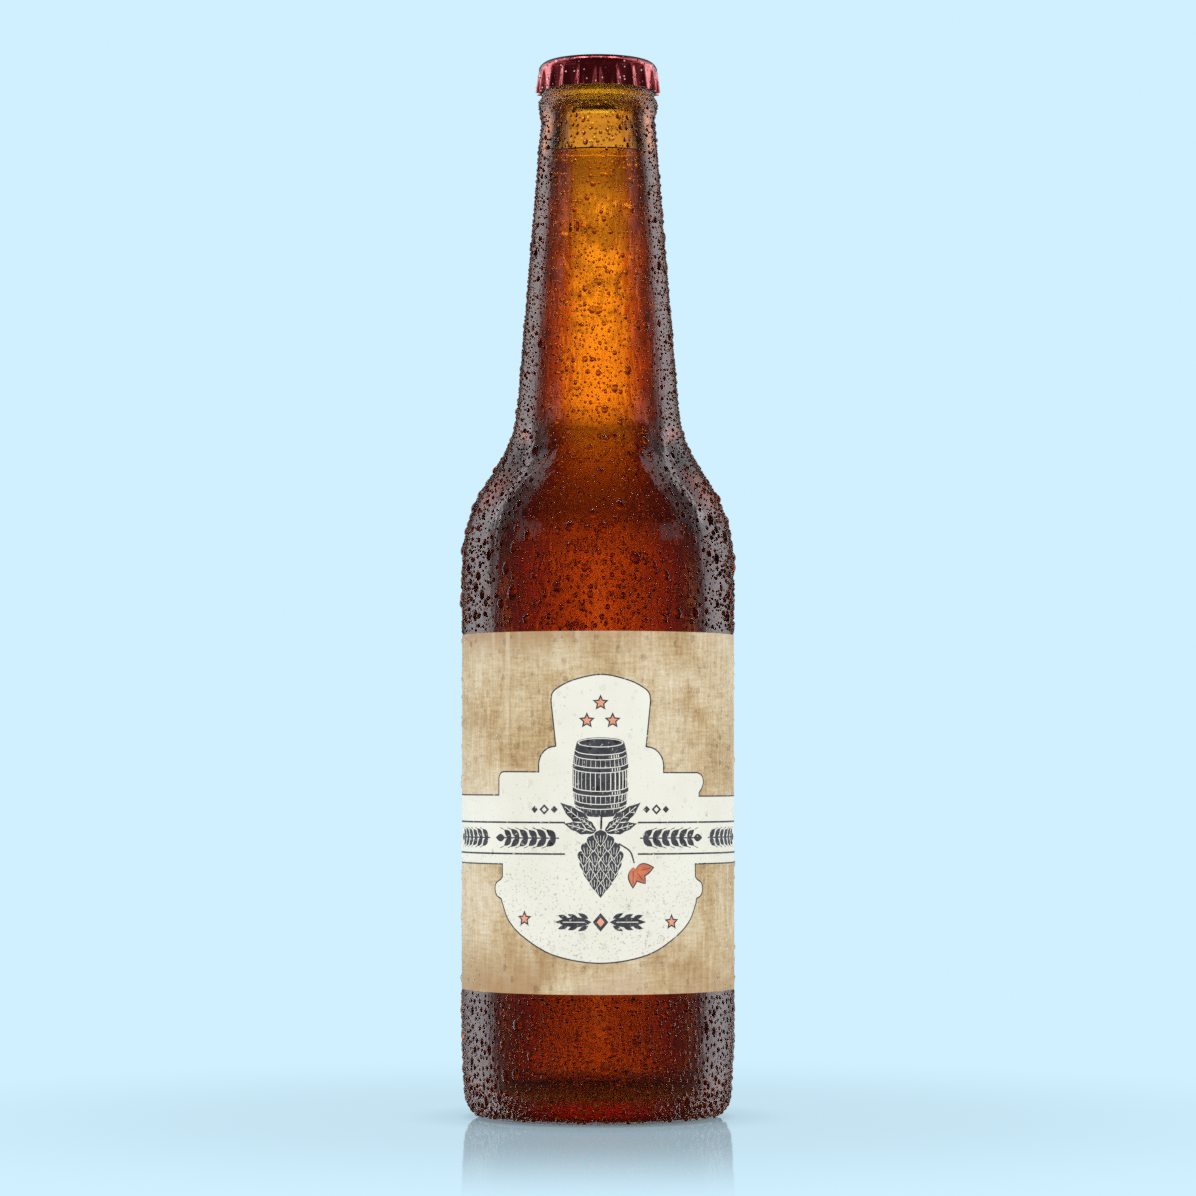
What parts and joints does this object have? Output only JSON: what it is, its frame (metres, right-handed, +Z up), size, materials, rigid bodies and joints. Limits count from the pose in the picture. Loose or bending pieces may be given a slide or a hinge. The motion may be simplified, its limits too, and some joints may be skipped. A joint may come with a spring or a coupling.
{
  "type": "beer bottle",
  "caption": "Full longneck bottle of amber glass with a crimped crown cap and a wrap-round paper label, holding beer up to the neck.",
  "frame": {"origin": "on the bottle's axis, at the plane it stands on", "axes": "+Z up along the bottle's axis towards the cap; the front of the label faces -Y, and its lap seam is at +Y"},
  "size_m": [0.0602, 0.0603, 0.2341],
  "materials": {
    "amber_glass": "polished, amber, cold and covered with water drops",
    "beer": "clear amber liquid",
    "label_paper": "printed matt paper, tan with a cream badge, wet in places",
    "cap_red": "dark red gloss lacquer on tinplate"
  },
  "bodies": {
    "root": {"bottle": "amber_glass", "beer": "beer", "label": "label_paper", "cap": "cap_red"}
  },
  "joints": []
}
